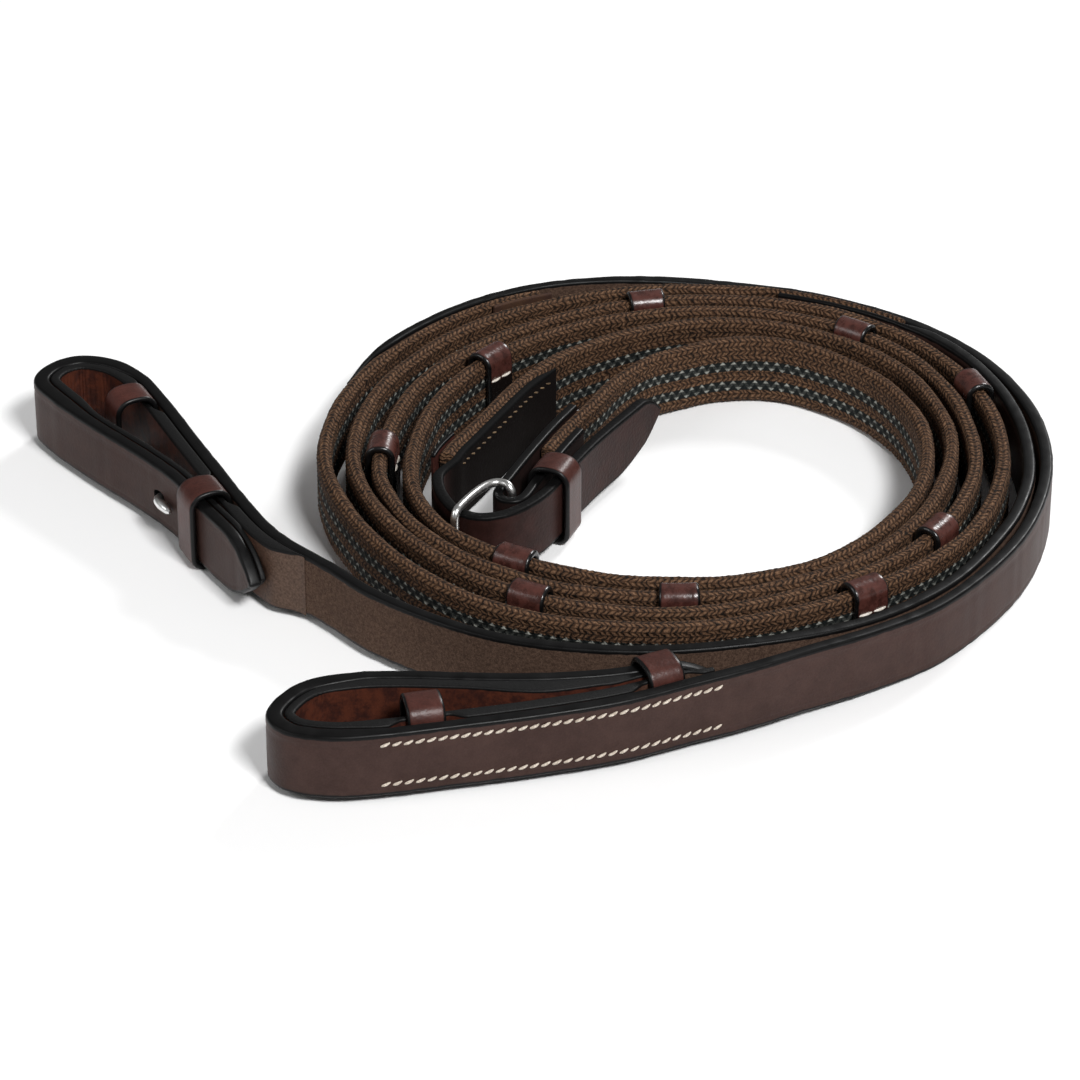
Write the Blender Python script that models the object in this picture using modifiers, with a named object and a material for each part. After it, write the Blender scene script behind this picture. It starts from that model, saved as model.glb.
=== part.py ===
"""Laced-web leather reins, coiled and standing on edge, joined by a centre buckle.

Metres, +Z up.  Both halves are ribbons standing on edge: each piece follows a stretch of
its half's centre line, between two side offsets and two heights.
"""
import math

import bmesh
import bpy
import numpy as np
from mathutils import Matrix

MM = 0.001

# driving dimensions, millimetres
STRAP_W = 16.0          # width of web and straps (stands vertical)
LIFT = 1.7              # lower edge of the web above the ground: it rests on its stops
WEB_T = 3.6             # woven web thickness
STRAP_T = 3.0           # bridle leather strap thickness
LINING_T = 1.4          # bit end lining thickness
CHAPE_T = 2.3           # buckle chape leather
BILLET_T = 2.7          # centre billet leather
GAP = 0.3               # free space between neighbouring pieces
STOP_T = 1.4            # rein stop leather
STOP_LENGTH = 9.0
STOP_REACH = WEB_T / 2 + 0.35 + STOP_T
KEEPER_T = 1.2
KEEPER_LENGTH = 8.5
KEEPER_ROOM = 6.4       # free width left in an empty keeper for the billet and its lining
WIRE_R = 1.0            # buckle frame wire radius
TONGUE_R = 0.9
FACING_T = 1.1          # small facings that close a web end
CENTRE_KEEPER = (12.4, -10.9, -0.6)     # distance from the buckle and two side offsets
SPLIT_A = -0.1          # side offset at which web a's thinned end meets its leather
SPLIT_B = 0.9           # the same on half b
SPLICE_OUT = 3.0        # outer face of strap b over the end of its web
TAPER_SHORT = 9.0       # lengths over which a web or its leather thins at a splice
TAPER_LONG = 11.0
LINING_END = 1.2        # the lining stops this far short of the billet tip
LINING_FLAT = 5.5       # the lining clears a keeper's wall over this half length
LINING_RAMP = 11.6      # and is back on the strap beyond this one
LINING_SLACK = 0.15
STUD_PLATE = (4.0, 0.8)                 # half length and thickness
STUD_STEM = 1.1
STUD_HEIGHT = 3.0
STUD_SLOT = (4.2, 4.4)                  # width and height
EDGE = 0.4              # softened leather and web edges

LOW = LIFT
HIGH = LIFT + STRAP_W
MID = LIFT + STRAP_W / 2
BUCKLE_LOW = 2.5        # leather between the buckle's side bars is a little narrower
SHIFT = (0.59, 1.358)   # puts the origin under the middle of the whole part

# coil: turn angle in degrees (0 left, 90 back, 180 right, 270 front), radius in mm
COIL_CENTRE = (32.9, 10.7)
COIL_A = [
    (66, 39.6), (75, 44.4), (83, 49.3), (92, 53.8), (100, 58.2), (110, 62), (120, 63.4),
    (140, 62.7), (160, 60.4), (180, 57.3), (200, 54.5), (230, 52.6), (255, 51.4), (272, 51.1),
    (290, 52.4), (310, 55.6), (322, 58.7), (335, 61.6), (348, 62.9), (360, 63.1), (375, 63.3),
    (390, 64.9), (410, 67.4), (430, 69.9), (450, 72.9), (465, 75.4), (478, 76.6), (490, 76.7),
    (500, 75.7), (510, 73.8), (520, 71.7), (540, 68.7), (560, 65.6), (575, 63.5), (590, 61.4),
    (610, 61.3), (630, 63.1), (650, 65.2), (665, 66.8), (680, 68.6), (700, 72), (720, 76.3),
    (735, 78), (750, 79.8), (770, 81.8), (785, 82.7), (805, 84.3), (825, 85.6), (845, 86.6),
    (860, 86.5), (873, 85.7), (885, 83.8), (900, 81.3), (910, 79.6), (920, 78.1), (940, 77),
    (960, 76.5), (980, 77.4), (1000, 80.6), (1020, 85.5), (1040, 89.8), (1050, 92)]
COIL_B = [
    (5, 54.7), (15, 52), (30, 51), (45, 53.3), (60, 57.3), (70, 60), (80, 63.1),
    (90, 66.2), (100, 68.7), (110, 70.2), (125, 71.1), (140, 70.2), (150, 68.4), (165, 65.8),
    (180, 62.6), (200, 59.2), (215, 57.8), (230, 57.1), (255, 56.4), (272, 57), (290, 58.7),
    (300, 60.4), (320, 64), (335, 66.9), (348, 68.9), (360, 70.5), (390, 72.3), (410, 73.6),
    (430, 75.6), (445, 78), (460, 80.4), (475, 82.3), (490, 82.5), (500, 81.7), (512, 79.9),
    (524, 77.8), (540, 75.1), (560, 72.2), (575, 69.7), (594, 67.2), (610, 67.2), (630, 69.2),
    (650, 72), (665, 74.7), (680, 76.1), (700, 78.6), (720, 83), (735, 84.8), (750, 86.2),
    (765, 87.6), (780, 88.8), (795, 88.6), (810, 88.7), (830, 89.6), (850, 90.4),
    (865, 90.2), (880, 88.6), (895, 86.2), (910, 83.6), (925, 81.8), (945, 81), (960, 81.2),
    (972, 83.3), (981, 87), (990, 92.2)]

# free ends, in the plan, millimetres
HEEL = (-6.5, -3.0)                 # upright bar of the buckle
FAR = (-19.5, -14.2)                # far bar of the buckle
TONGUE_TIP = (-17.3, -16.7)
A_START = [HEEL, (-3, 5.9), (0.9, 15.1), (4.6, 23.3), (8.7, 31.6), (12.9, 39.1)]
A_BIT_END = [
    (-60.4, -20.9), (-69.9, -3.6), (-74.5, 6.2), (-81.2, 20.4), (-90.3, 40), (-95.6, 49.8),
    (-102.7, 56.9), (-111.1, 59.1), (-117.3, 55.6), (-120, 48.9), (-115.6, 40.9), (-105.3, 28.4),
    (-92, 13.8), (-84, 3.6), (-78.4, -6.7), (-73.3, -15.1), (-68.4, -23.1), (-64.4, -30.7)]
B_START = [
    (28, 44.4), (25.8, 41.3), (22.2, 35.6), (17.1, 27.6), (12.3, 19.6), (7.6, 10.5), (4.1, 3.1),
    (0.2, -4.1), (-4.4, -9.4), (-8.9, -12.4), (-14.2, -13.3), (-18.7, -10.8), (-21.9, -5.3),
    (-23.5, 0.9), (-23.5, 7.1)]
B_BIT_END = [
    (17.8, -88.3), (0, -93.5), (-17.8, -97.6), (-33.8, -101), (-44.4, -102.1), (-53.8, -99.8),
    (-57.4, -94.4), (-55, -87.6), (-49.8, -82.2), (-40, -79.3), (-31.1, -78.8), (-13.3, -79.5),
    (0, -79.6), (13.3, -78.2), (22.2, -76.3), (31.1, -74.1), (37.3, -72.8), (41.8, -71.9)]

STOPS_A = (313, 408, 485, 567, 662)
STOPS_B = (272, 366, 445, 513, 594)

LEATHER = (0.045, 0.022, 0.018, 1)
LINING = (0.16, 0.05, 0.03, 1)
RED_LEATHER = (0.09, 0.03, 0.022, 1)
WEB = (0.075, 0.042, 0.022, 1)
METAL = (0.75, 0.75, 0.74, 1)


# scene set-up

for old in list(bpy.data.objects):
    bpy.data.objects.remove(old, do_unlink=True)

parts = bpy.data.collections.new("leather_reins")
cutters = bpy.data.collections.new("cutters")
bpy.context.scene.collection.children.link(parts)
bpy.context.scene.collection.children.link(cutters)


def material(name, colour, metallic, roughness):
    mat = bpy.data.materials.new(name)
    mat.use_nodes = True
    shader = mat.node_tree.nodes["Principled BSDF"]
    shader.inputs["Base Color"].default_value = colour
    shader.inputs["Metallic"].default_value = metallic
    shader.inputs["Roughness"].default_value = roughness
    return mat


# centre lines

LONGEST = 9.5           # facets of a ribbon, shorter where the line bends
SHORTEST = 2.3
FLATNESS = 0.8


def on_coil(turn, radius):
    angle = math.radians(180 - turn)
    return (COIL_CENTRE[0] + radius * math.cos(angle), COIL_CENTRE[1] + radius * math.sin(angle))


class Line:
    """A smooth plan curve through hand-set points, read by distance along it."""

    def __init__(self, points, fine=0.5):
        pts = np.array(points, float)
        knots = np.concatenate([[0], np.cumsum(np.sqrt(np.linalg.norm(np.diff(pts, axis=0), axis=1)))])
        slopes = np.gradient(pts, knots, axis=0)
        dense = []
        for i in range(len(pts) - 1):
            span = knots[i + 1] - knots[i]
            for u in np.linspace(0, 1, 24, endpoint=False):
                h00 = 2 * u ** 3 - 3 * u ** 2 + 1
                h10 = u ** 3 - 2 * u ** 2 + u
                h01 = 3 * u ** 2 - 2 * u ** 3
                h11 = u ** 3 - u ** 2
                dense.append(h00 * pts[i] + h10 * span * slopes[i]
                             + h01 * pts[i + 1] + h11 * span * slopes[i + 1])
        dense.append(pts[-1])
        dense = np.array(dense)
        run = np.concatenate([[0], np.cumsum(np.linalg.norm(np.diff(dense, axis=0), axis=1))])
        self.length = run[-1]
        self.s = np.linspace(0, self.length, int(self.length / fine) + 1)
        self.p = np.stack([np.interp(self.s, run, dense[:, k]) for k in (0, 1)], 1)
        tangent = np.gradient(self.p, self.s, axis=0)
        self.t = tangent / np.linalg.norm(tangent, axis=1)[:, None]
        bend = np.gradient(np.unwrap(np.arctan2(self.t[:, 1], self.t[:, 0])), self.s)
        pad = int(3 / fine)
        even = np.ones(2 * pad + 1) / (2 * pad + 1)
        bend = np.convolve(np.pad(np.abs(bend), pad, mode="edge"), even, "valid")
        self.grid = [0.0]
        while self.grid[-1] < self.length:
            tight = max(np.interp(self.grid[-1] + 1, self.s, bend), 1e-4)
            self.grid.append(self.grid[-1] + min(LONGEST, max(SHORTEST, math.sqrt(FLATNESS / tight))))
        self.stops = []

    def near(self, point):
        """Distance along the line of its closest point."""
        return self.s[np.argmin(np.linalg.norm(self.p - np.array(point), axis=1))]

    def point(self, s):
        return np.array([np.interp(s, self.s, self.p[:, k]) for k in (0, 1)])

    def tangent(self, s):
        t = np.array([np.interp(s, self.s, self.t[:, k]) for k in (0, 1)])
        return t / np.linalg.norm(t)

    def side(self, s, offset):
        """Point at a side offset; positive is to the left of the travel."""
        t = self.tangent(s)
        return self.point(s) + offset * np.array([-t[1], t[0]])

    def stations(self, s0, s1, marks=()):
        """The line's own stations on a stretch, its two ends and any further marks."""
        fixed = [s0, s1]
        for mark in marks:
            if s0 < mark < s1 and all(abs(mark - f) > 0.4 for f in fixed):
                fixed.append(mark)
        return sorted(fixed + [g for g in self.grid
                               if s0 < g < s1 and all(abs(g - f) > 1.0 for f in fixed)])


line_a = Line(A_START + [on_coil(*c) for c in COIL_A] + A_BIT_END)
line_b = Line(B_START + [on_coil(*c) for c in COIL_B] + B_BIT_END)


def turn_a(turn):
    radius = np.interp(turn, [c[0] for c in COIL_A], [c[1] for c in COIL_A])
    return line_a.near(on_coil(turn, radius))


def turn_b(turn):
    radius = np.interp(turn, [c[0] for c in COIL_B], [c[1] for c in COIL_B])
    return line_b.near(on_coil(turn, radius))


def far_leg(line, s, sign, half_length):
    """Farthest side offset of the returning leg of a bit loop, opposite a stretch of line."""
    t = line.tangent(s)
    out = sign * np.array([-t[1], t[0]])
    away = line.p[line.s > s + 30] - line.point(s)
    facing = (np.abs(away @ t) < half_length) & (away @ out > 0)
    return float(np.max((away @ out)[facing]))


for line, turns, at in ((line_a, STOPS_A, turn_a), (line_b, STOPS_B, turn_b)):
    line.stops = [at(turn) + d for turn in turns for d in (-STOP_LENGTH / 2, 0, STOP_LENGTH / 2)]


# solids

def place(name, mesh, mat, origin=(0, 0, 0)):
    """Put a mesh drawn in millimetres round its origin into the scene, in metres."""
    mesh.transform(Matrix.Scale(MM, 4))
    mesh.shade_smooth()
    mesh.set_sharp_from_angle(angle=math.radians(35))
    obj = bpy.data.objects.new(name, mesh)
    obj.data.materials.append(mat)
    obj.location = [(origin[k] + SHIFT[k]) * MM for k in (0, 1)] + [origin[2] * MM]
    parts.objects.link(obj)
    return obj


def thicken(obj, thickness, edge):
    solid = obj.modifiers.new("thickness", "SOLIDIFY")
    solid.thickness = thickness * MM
    solid.offset = 0
    solid.use_even_offset = True
    if edge:
        soften(obj, edge)
    return solid


def soften(obj, edge):
    bevel = obj.modifiers.new("edges", "BEVEL")
    bevel.width = edge * MM
    bevel.segments = 1
    bevel.limit_method = "ANGLE"
    bevel.angle_limit = math.radians(50)


def sheet(name, near_row, far_row, closed=False):
    """Open surface: one row of points drawn out to a second row."""
    bm = bmesh.new()
    row = [bm.verts.new(p) for p in near_row]
    ends = row[1:] + row[:1] if closed else row[1:]
    edges = [bm.edges.new(pair) for pair in zip(row, ends)]
    drawn = bmesh.ops.extrude_edge_only(bm, edges=edges)["geom"]
    for vert in [v for v in drawn if isinstance(v, bmesh.types.BMVert)]:
        source = next(e.other_vert(vert) for e in vert.link_edges if e.other_vert(vert) in row)
        vert.co = far_row[row.index(source)]
    mesh = bpy.data.meshes.new(name)
    bm.to_mesh(mesh)
    bm.free()
    return mesh


def profile(table, s):
    if isinstance(table, (int, float)):
        return float(table)
    return float(np.interp(s, [row[0] for row in table], [row[1] for row in table]))


def ribbon(name, line, s0, s1, right, left, mat, low=LOW, high=HIGH, tip=None, edge=EDGE):
    """Band standing on edge between two side offsets, each a number or (distance, value) rows.

    tip is "start" or "end" for a rounded point.
    """
    marks = [row[0] for table in (right, left, low) if isinstance(table, list) for row in table]
    marks += [m for m in line.stops if all(abs(m - other) > 1.0 for other in marks)]
    radius = STRAP_W / 2
    if tip:
        ends = [1.0, 2.3, 4.0, 6.2]
        marks += [s0 + e for e in ends] if tip == "start" else [s1 - e for e in ends]
    bottom = []
    top = []
    depths = []
    for s in line.stations(s0, s1, marks):
        r = profile(right, s)
        w = profile(left, s)
        z0 = profile(low, s)
        z1 = profile(high, s)
        if tip:
            d = s - s0 if tip == "start" else s1 - s
            cut_in = radius - math.sqrt(max(radius ** 2 - max(radius - d - 0.25, 0) ** 2, 0))
            z0 += cut_in
            z1 -= cut_in
        middle = line.side(s, (r + w) / 2)
        bottom.append((*middle, z0))
        top.append((*middle, z1))
        depths += [w - r]
    obj = place(name, sheet(name, bottom, top), mat)
    solid = thicken(obj, max(depths), edge)
    if max(depths) - min(depths) > 0.01:
        group = obj.vertex_groups.new(name="thickness")
        for k, depth in enumerate(depths + depths):
            group.add([k], depth / max(depths), "REPLACE")
        solid.vertex_group = group.name
    return obj


def band(name, line, s, u0, u1, wall, length, mat):
    """Leather loop round a stretch of strap; u0 and u1 are its outer side offsets."""
    centre = line.point(s)
    t = line.tangent(s)
    n = np.array([-t[1], t[0]])
    z0 = LOW - GAP - wall / 2
    z1 = HIGH + GAP + wall / 2
    bend = wall * 0.55
    section = []
    for u, z, start in ((u1 - wall / 2, z0, -90), (u1 - wall / 2, z1, 0),
                        (u0 + wall / 2, z1, 90), (u0 + wall / 2, z0, 180)):
        hub = (u - bend if u > (u0 + u1) / 2 else u + bend,
               z - bend if z > MID else z + bend)
        for k in (0, 45, 90):
            a = math.radians(start + k)
            section.append((hub[0] + bend * math.cos(a), hub[1] + bend * math.sin(a)))
    rows = [[(*(d * t + u * n), z) for u, z in section] for d in (-length / 2, length / 2)]
    obj = place(name, sheet(name, rows[0], rows[1], closed=True), mat, (*centre, 0))
    thicken(obj, wall, 0)
    return obj


def plate(name, outline, height, mat, origin, edge=0.0):
    """Flat outline lying level, given a height."""
    bm = bmesh.new()
    bm.faces.new([bm.verts.new((x, y, 0)) for x, y in outline])
    bmesh.ops.recalc_face_normals(bm, faces=bm.faces)
    mesh = bpy.data.meshes.new(name)
    bm.to_mesh(mesh)
    bm.free()
    obj = place(name, mesh, mat, origin)
    thicken(obj, height, edge)
    return obj


def cut(target, tool):
    parts.objects.unlink(tool)
    cutters.objects.link(tool)
    tool.hide_render = True
    tool.display_type = "WIRE"
    mod = target.modifiers.new(tool.name, "BOOLEAN")
    mod.operation = "DIFFERENCE"
    mod.solver = "EXACT"
    mod.object = tool


def box_cutter(name, origin, direction, start, end, width, height):
    """Box from start to end along a level direction, seen from its origin."""
    bm = bmesh.new()
    bmesh.ops.create_cube(bm, size=1)
    bmesh.ops.scale(bm, vec=(end - start, width, height), verts=bm.verts)
    bmesh.ops.translate(bm, vec=((start + end) / 2, 0, 0), verts=bm.verts)
    turn = Matrix.Rotation(math.atan2(direction[1], direction[0]), 3, "Z")
    bmesh.ops.rotate(bm, matrix=turn, verts=bm.verts)
    mesh = bpy.data.meshes.new(name)
    bm.to_mesh(mesh)
    bm.free()
    return place(name, mesh, cutter_grey, (*origin, MID))


cutter_grey = material("cutter", (0.5, 0.5, 0.5, 1), 0.0, 0.8)


def leather(name, colour=LEATHER, roughness=0.45):
    return material(name + "_leather", colour, 0.0, roughness)


# half A: buckle half, inner strap of the pair

chape_end = 42.0
a_web_start = 21.5
a_web_end = turn_a(850)
a_leather_start = turn_a(828)
ribbon("web_a", line_a, a_web_start, a_web_end,
       [(a_leather_start - TAPER_LONG, -WEB_T / 2), (a_leather_start, SPLIT_A)], WEB_T / 2,
       material("web_a_weave", WEB, 0.0, 0.85), edge=0)

half = STRAP_T / 2
a_floor = [(turn_a(858), LOW), (turn_a(885), 0.0), (turn_a(950), 0.0), (turn_a(985), LOW)]
a_top = [(s, z + STRAP_W) for s, z in a_floor]
strap_a = ribbon("strap_a", line_a, a_leather_start, line_a.length,
                 [(a_web_end, -WEB_T / 2), (a_web_end + TAPER_SHORT, -half)],
                 [(a_web_end + 0.5, SPLIT_A - GAP), (a_web_end + TAPER_SHORT, half)],
                 leather("strap_a"), low=a_floor, high=a_top, tip="end")

b_web_start = turn_b(4)
b_web_end = turn_b(788)
b_leather_start = turn_b(760)
ribbon("web_b", line_b, b_web_start, b_web_end, -WEB_T / 2,
       [(b_leather_start - TAPER_SHORT, WEB_T / 2), (b_leather_start, SPLIT_B)],
       material("web_b_weave", WEB, 0.0, 0.85), edge=0)
b_floor = [(turn_b(800), LOW), (turn_b(826), 0.0), (turn_b(945), 0.0), (turn_b(978), LOW)]
b_top = [(s, z + STRAP_W) for s, z in b_floor]
strap_b = ribbon("strap_b", line_b, b_leather_start, line_b.length,
                 [(b_web_end + 0.5, SPLIT_B + GAP), (b_web_end + TAPER_LONG, -half)],
                 [(b_web_end, SPLICE_OUT), (b_web_end + TAPER_LONG, half)],
                 leather("strap_b"), low=b_floor, high=b_top, tip="end")

ribbon("web_end_facing_b", line_b, turn_b(779), b_web_end + 2.5,
       -WEB_T / 2 - GAP - FACING_T, -WEB_T / 2 - GAP, leather("web_end_facing_b", RED_LEATHER))

# bit ends: lining, keepers and hook stud on each

BIT_ENDS = {
    "a": dict(line=line_a, strap=strap_a, sign=1, empty=(-91, 41.4), filled=(-71.6, -1.3),
              root=(-52, -30.2), stud=(-77.7, 12.9)),
    "b": dict(line=line_b, strap=strap_b, sign=-1, empty=(-23.5, -100), filled=(28.8, -83.5),
              root=(39.1, -79.1), stud=(8, -90.5))}

for tag, end in BIT_ENDS.items():
    line = end["line"]
    sign = end["sign"]
    root = line.near(end["root"])
    empty = line.near(end["empty"])
    filled = line.near(end["filled"])
    seat = half + GAP
    raised = seat + KEEPER_T + GAP + LINING_SLACK
    rows = [(spot + d, offset) for spot in sorted((filled, empty))
            for d, offset in ((-LINING_RAMP, seat), (-LINING_FLAT, raised),
                              (LINING_FLAT, raised), (LINING_RAMP, seat))]
    near_face = [(s, sign * u) for s, u in rows]
    far_face = [(s, sign * (u + LINING_T)) for s, u in rows]
    right, left = (near_face, far_face) if sign > 0 else (far_face, near_face)
    lining = ribbon("bit_lining_" + tag, line, root, line.length - LINING_END, right, left,
                    leather("bit_lining_" + tag, LINING), tip="end", edge=0.3)

    inner = seat + KEEPER_T
    empty_reach = inner + GAP + LINING_T + KEEPER_ROOM + KEEPER_T
    filled_reach = far_leg(line, filled, sign, KEEPER_LENGTH / 2) + half + GAP + KEEPER_T
    for label, s, reach in (("bit_keeper_empty_", empty, empty_reach),
                            ("bit_keeper_filled_", filled, filled_reach)):
        sides = sorted((sign * seat, sign * reach))
        band(label + tag, line, s, sides[0], sides[1], KEEPER_T, KEEPER_LENGTH,
             leather(label + tag, RED_LEATHER))

    s = line.near(end["stud"])
    base = line.side(s, sign * (seat + LINING_T + GAP))
    tan = line.tangent(s)
    out = sign * np.array([-tan[1], tan[0]])
    reach = far_leg(line, s, sign, 5.4) - (seat + LINING_T + GAP) + half + 0.4
    wide, thin = STUD_PLATE
    stem = STUD_STEM
    outline = [(-wide, 0), (wide, 0), (wide, thin), (stem, thin), (stem, reach), (0.8, reach + 0.9),
               (-0.9, reach + 1.5), (-4.1, reach + 1.3), (-4.6, reach + 0.8), (-4.1, reach + 0.3),
               (-stem, reach), (-stem, thin), (-wide, thin)]
    flip = -1 if tag == "a" else 1
    plan = [tuple(b * out - flip * a * tan) for a, b in outline]
    plate("hook_stud_" + tag, plan, STUD_HEIGHT, material("hook_stud_" + tag + "_metal", METAL, 1.0, 0.2),
          (*base, MID), edge=0.3)
    for target in (end["strap"], lining):
        cut(target, box_cutter("slot_" + target.name, base, out, 1.2, reach + 1.1, *STUD_SLOT))

# centre: chape folded round the buckle's upright bar, keeper, billet, buckle

chape_offset = WEB_T / 2 + GAP + CHAPE_T / 2
outer_leg = [tuple(line_a.side(s, chape_offset)) for s in (chape_end, 32, 24, 16, 8, 0)]
inner_leg = [tuple(line_a.side(s, -chape_offset)) for s in (0, 8, 16, 24, 33)]
toward = -line_a.tangent(0)
across = np.array([-toward[1], toward[0]])
fold = [tuple(np.array(HEEL) + chape_offset * (math.sin(a) * toward - math.cos(a) * across))
        for a in (math.radians(d) for d in (30, 60, 90, 120, 150))]
chape_line = Line(outer_leg + fold + inner_leg, fine=0.25)
chape = ribbon("buckle_chape", chape_line, 0, chape_line.length, -CHAPE_T / 2, CHAPE_T / 2,
               leather("buckle_chape"), low=BUCKLE_LOW)
cut(chape, box_cutter("slot_chape", HEEL, toward, -2.3, 7.1, 11.6, 5.2))

band("centre_keeper", line_a, *CENTRE_KEEPER, KEEPER_T, KEEPER_LENGTH,
     leather("centre_keeper", RED_LEATHER))

thin = BILLET_T / 2
billet_top = turn_b(34)
billet = ribbon("centre_billet", line_b, 0, billet_top,
                [(b_web_start - 11, -thin), (b_web_start - 0.5, -WEB_T / 2 - GAP - 2.0)],
                [(b_web_start - 11, thin), (b_web_start - 0.5, -WEB_T / 2 - GAP)],
                leather("centre_billet"), low=BUCKLE_LOW, tip="start")
ribbon("web_start_facing_b", line_b, b_web_start - 2.0, b_web_start + 9,
       WEB_T / 2 + GAP, WEB_T / 2 + GAP + FACING_T, leather("web_start_facing_b", RED_LEATHER))

tongue_dir = np.array(TONGUE_TIP) - np.array(HEEL)
cut(billet, box_cutter("hole_billet", HEEL, tongue_dir, 7.1, 21.5, 3.4, 3.8))

ARCH = [FAR, (-18.2, -11.6), (-16.2, -7.8), (-13.9, -4.3), (-11.7, -2), (-9.8, -1.2),
        (-8, -1.8), HEEL]
arch = Line(ARCH, fine=0.25)
TOP_BAR = HIGH + GAP + WIRE_R
LOW_BAR = BUCKLE_LOW - GAP - WIRE_R
CORNER = 2.0
rail = np.linspace(CORNER, arch.length - CORNER, 8)
route = [(*arch.point(s), TOP_BAR) for s in rail]
for k in (30, 60):
    a = math.radians(k)
    route.append((*arch.point(arch.length - CORNER + CORNER * math.sin(a)),
                  TOP_BAR - CORNER + CORNER * math.cos(a)))
route += [(*HEEL, TOP_BAR - CORNER), (*HEEL, LOW_BAR + CORNER)]
for k in (60, 30):
    a = math.radians(k)
    route.append((*arch.point(arch.length - CORNER + CORNER * math.sin(a)),
                  LOW_BAR + CORNER - CORNER * math.cos(a)))
route += [(*arch.point(s), LOW_BAR) for s in rail[::-1]]
for k in (30, 60):
    a = math.radians(k)
    route.append((*arch.point(CORNER - CORNER * math.sin(a)),
                  LOW_BAR + CORNER - CORNER * math.cos(a)))
route += [(*FAR, LOW_BAR + CORNER), (*FAR, TOP_BAR - CORNER)]
for k in (60, 30):
    a = math.radians(k)
    route.append((*arch.point(CORNER - CORNER * math.sin(a)),
                  TOP_BAR - CORNER + CORNER * math.cos(a)))

pivot = (*HEEL, MID)
wire = bpy.data.curves.new("buckle_frame", "CURVE")
wire.dimensions = "3D"
wire.bevel_depth = WIRE_R * MM
wire.bevel_resolution = 2
wire.use_fill_caps = True
spline = wire.splines.new("POLY")
spline.points.add(len(route) - 1)
for knot, spot in zip(spline.points, route):
    knot.co = (*[(spot[k] - pivot[k]) * MM for k in range(3)], 1)
spline.use_cyclic_u = True
frame = bpy.data.objects.new("buckle_frame", wire)
wire.materials.append(material("buckle_frame_metal", METAL, 1.0, 0.18))
frame.location = [(pivot[k] + SHIFT[k]) * MM for k in (0, 1)] + [pivot[2] * MM]
parts.objects.link(frame)

d = tongue_dir / np.linalg.norm(tongue_dir)
n = np.array([-d[1], d[0]])
reach = np.linalg.norm(tongue_dir)
eye = WIRE_R + GAP + 1.0
shape = [(eye * math.cos(math.radians(k)), eye * math.sin(math.radians(k)))
         for k in range(40, 321, 20)]
shape += [(3.8, -TONGUE_R), (reach - 1.1, -0.75), (reach, -0.3), (reach, 0.3),
          (reach - 1.1, 0.75), (3.8, TONGUE_R)]
tongue = plate("buckle_tongue", [tuple(a * d + b * n) for a, b in shape], 2 * TONGUE_R,
               material("buckle_tongue_metal", METAL, 1.0, 0.22), pivot)
bm = bmesh.new()
bmesh.ops.create_cone(bm, cap_ends=True, segments=16, radius1=WIRE_R + GAP,
                      radius2=WIRE_R + GAP, depth=8)
eye_mesh = bpy.data.meshes.new("tongue_eye")
bm.to_mesh(eye_mesh)
bm.free()
cut(tongue, place("tongue_eye", eye_mesh, cutter_grey, pivot))

# rein stops

for tag, line in (("a", line_a), ("b", line_b)):
    for i in range(5):
        name = f"rein_stop_{tag}{i + 1}"
        band(name, line, line.stops[3 * i + 1], -STOP_REACH, STOP_REACH, STOP_T, STOP_LENGTH,
             leather(name, RED_LEATHER))
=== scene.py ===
"""Looks of the coiled web reins: woven web, bridle leather, stitching and bright metal.

Pieces are drawn in millimetres on the same centre lines as the CAD ribbons.
"""

import math

import bmesh
import bpy
import numpy as np
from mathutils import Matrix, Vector


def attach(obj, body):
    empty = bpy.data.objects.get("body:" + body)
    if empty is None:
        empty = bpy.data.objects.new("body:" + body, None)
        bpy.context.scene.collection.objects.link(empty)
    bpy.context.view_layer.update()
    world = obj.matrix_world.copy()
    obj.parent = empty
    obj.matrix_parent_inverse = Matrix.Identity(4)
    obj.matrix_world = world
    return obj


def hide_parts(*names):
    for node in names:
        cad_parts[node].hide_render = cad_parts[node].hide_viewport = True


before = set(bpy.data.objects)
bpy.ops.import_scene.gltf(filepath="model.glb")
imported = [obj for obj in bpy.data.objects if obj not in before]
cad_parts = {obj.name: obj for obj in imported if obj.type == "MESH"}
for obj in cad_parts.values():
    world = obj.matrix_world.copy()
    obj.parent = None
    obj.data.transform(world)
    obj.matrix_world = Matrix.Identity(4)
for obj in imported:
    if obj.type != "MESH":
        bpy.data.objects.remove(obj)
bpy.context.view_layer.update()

MM = 0.001
STRAP_W = 16.0
LIFT = 1.7
WEB_T = 3.6
STRAP_T = 3.0
LINING_T = 1.4
CHAPE_T = 2.3
BILLET_T = 2.7
GAP = 0.3
STOP_T = 1.4
STOP_LENGTH = 9.0
STOP_REACH = WEB_T / 2 + 0.35 + STOP_T
KEEPER_T = 1.2
KEEPER_LENGTH = 8.5
KEEPER_ROOM = 6.4
WIRE_R = 1.0
FACING_T = 1.1
BUCKLE_LOW = 2.5
KNIT_PITCH = 1.42       # length of one stitch of the web
SHIFT = np.array([0.59, 1.358])

LOW = LIFT
HIGH = LIFT + STRAP_W
MID = LIFT + STRAP_W / 2
NEAR_TABLE = 0.1
WEB_SIDE = WEB_T / 2 + GAP          # where leather begins on the web's face
half = STRAP_T / 2

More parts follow.
